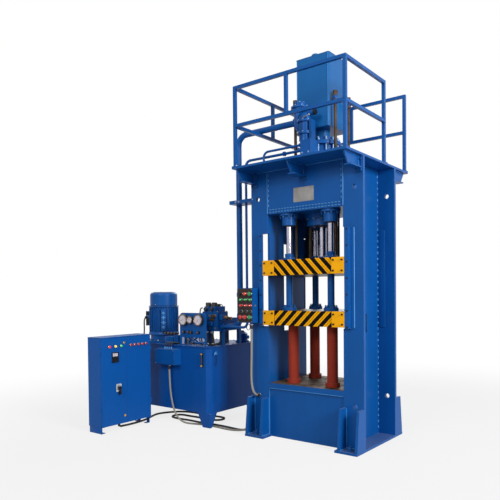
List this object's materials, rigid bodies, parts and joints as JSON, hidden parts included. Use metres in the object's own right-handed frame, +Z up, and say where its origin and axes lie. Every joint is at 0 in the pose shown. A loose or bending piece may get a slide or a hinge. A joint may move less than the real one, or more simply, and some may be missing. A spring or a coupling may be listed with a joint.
{
  "type": "hydraulic press",
  "caption": "Upright hydraulic press with a welded frame, upper and lower guided slides, a railed top deck with its oil tank, a floor-standing power unit and an electrical cabinet.",
  "frame": {"origin": "on the floor at the middle of the press's four foundation bolts", "axes": "+Z up, -Y the working front, +X to the right seen from the front; the power unit stands on the -X side"},
  "size_m": [3.56, 2.411, 4.618],
  "materials": {
    "blue_paint": "semi-gloss enamel",
    "yellow_paint": "semi-gloss enamel",
    "red_primer": "matte primer",
    "dark_paint": "matte paint",
    "valve_paint": "semi-gloss enamel",
    "machined_steel": "machined and oiled",
    "bright_steel": "satin",
    "oiled_steel": "dark oiled thread",
    "chromed_steel": "hard chrome",
    "gauge_brass": "satin",
    "black_rubber": "matte",
    "conduit_sheath": "ribbed matte",
    "grey_plastic": "matte",
    "lamp_plastic": "translucent",
    "black_plastic": "gloss",
    "green_plastic": "gloss",
    "red_plastic": "gloss"
  },
  "bodies": {
    "frame": {"left_column": "blue_paint", "right_column": "blue_paint", "crosshead": "blue_paint", "bed": "blue_paint", "bed_plate": "machined_steel", "deck_plate": "blue_paint", "deck_brackets": "blue_paint", "railing": "blue_paint", "guide_rails": "blue_paint", "main_cylinder": "blue_paint", "main_gland": "blue_paint", "corner_cylinders": "blue_paint", "support_posts": "red_primer", "rear_guard": "dark_paint", "filling_tank": "blue_paint", "prefill_valve": "blue_paint", "oil_pipe": "blue_paint", "small_pipes": "blue_paint", "pipe_clamp": "blue_paint", "control_box": "blue_paint", "control_bezels": "bright_steel", "control_lamps": "lamp_plastic", "control_conduit": "conduit_sheath", "oil_tank": "blue_paint", "pump_motor": "blue_paint", "fan_cowl": "blue_paint", "gauge_panel": "blue_paint", "pressure_gauges": "gauge_brass", "valve_block": "blue_paint", "solenoid_valves": "valve_paint", "return_filter": "blue_paint", "junction_box": "blue_paint", "suction_hoses": "black_rubber", "cabinet_shell": "blue_paint", "switchgear": "grey_plastic", "motor_cable": "black_rubber", "junction_conduit": "conduit_sheath", "floor_cable": "black_rubber"},
    "upper_slide": {"upper_platen": "blue_paint", "upper_shoes": "yellow_paint", "main_ram": "chromed_steel", "rod_bushes": "blue_paint", "limit_rods": "oiled_steel"},
    "lower_slide": {"lower_platen": "blue_paint", "lower_shoes": "yellow_paint", "corner_rods": "chromed_steel", "rod_sleeves": "blue_paint"},
    "left_door": {"left_door": "blue_paint"},
    "right_door": {"right_door": "blue_paint"},
    "top_lock": {"top_lock": "gauge_brass"},
    "bottom_lock": {"bottom_lock": "gauge_brass"},
    "switch_handle": {"switch_handle": "black_plastic"},
    "mode_selector": {"mode_selector": "black_plastic"},
    "cycle_button": {"cycle_button": "green_plastic"},
    "up_button": {"up_button": "black_plastic"},
    "down_button": {"down_button": "black_plastic"},
    "eject_button": {"eject_button": "black_plastic"},
    "slide_stop": {"slide_stop": "red_plastic"},
    "main_stop": {"main_stop": "red_plastic"},
    "start_mushroom": {"start_mushroom": "green_plastic"}
  },
  "joints": [
    {"name": "upper_slide_travel", "type": "slide", "parent": "frame", "child": "upper_slide", "axis": [0, 0, 1], "range_m": [-0.18, 0.3]},
    {"name": "lower_slide_travel", "type": "slide", "parent": "frame", "child": "lower_slide", "axis": [0, 0, 1], "range_m": [0, 0.15]},
    {"name": "left_door_hinge", "type": "hinge", "parent": "frame", "child": "left_door", "pos_m": [-2.213, -1.604, 0.6], "axis": [0, 0, -1], "range_deg": [0, 110]},
    {"name": "right_door_hinge", "type": "hinge", "parent": "frame", "child": "right_door", "pos_m": [-2.213, -0.781, 0.6], "axis": [0, 0, 1], "range_deg": [0, 95]},
    {"name": "top_lock_turn", "type": "hinge", "parent": "left_door", "child": "top_lock", "pos_m": [-2.205, -1.237, 1.112], "axis": [1, 0, 0], "range_deg": [0, 90]},
    {"name": "bottom_lock_turn", "type": "hinge", "parent": "left_door", "child": "bottom_lock", "pos_m": [-2.205, -1.237, 0.18], "axis": [1, 0, 0], "range_deg": [0, 90]},
    {"name": "switch_handle_turn", "type": "hinge", "parent": "left_door", "child": "switch_handle", "pos_m": [-2.196, -1.335, 0.548], "axis": [1, 0, 0], "range_deg": [0, 90]},
    {"name": "mode_selector_turn", "type": "hinge", "parent": "frame", "child": "mode_selector", "pos_m": [-0.792, -0.58, 1.722], "axis": [0, 1, 0], "range_deg": [-45, 45]},
    {"name": "cycle_button_press", "type": "slide", "parent": "frame", "child": "cycle_button", "axis": [0, 1, 0], "range_m": [0, 0.004], "stiffness_N_per_m": 600, "springref_m": -0.002},
    {"name": "up_button_press", "type": "slide", "parent": "frame", "child": "up_button", "axis": [0, 1, 0], "range_m": [0, 0.004], "stiffness_N_per_m": 600, "springref_m": -0.002},
    {"name": "down_button_press", "type": "slide", "parent": "frame", "child": "down_button", "axis": [0, 1, 0], "range_m": [0, 0.004], "stiffness_N_per_m": 600, "springref_m": -0.002},
    {"name": "eject_button_press", "type": "slide", "parent": "frame", "child": "eject_button", "axis": [0, 1, 0], "range_m": [0, 0.004], "stiffness_N_per_m": 600, "springref_m": -0.002},
    {"name": "slide_stop_press", "type": "slide", "parent": "frame", "child": "slide_stop", "axis": [0, 1, 0], "range_m": [0, 0.004], "stiffness_N_per_m": 600, "springref_m": -0.002},
    {"name": "main_stop_press", "type": "slide", "parent": "frame", "child": "main_stop", "axis": [0, 1, 0], "range_m": [0, 0.004], "stiffness_N_per_m": 600, "springref_m": -0.002},
    {"name": "start_mushroom_press", "type": "slide", "parent": "frame", "child": "start_mushroom", "axis": [0, 1, 0], "range_m": [0, 0.004], "stiffness_N_per_m": 600, "springref_m": -0.002}
  ]
}
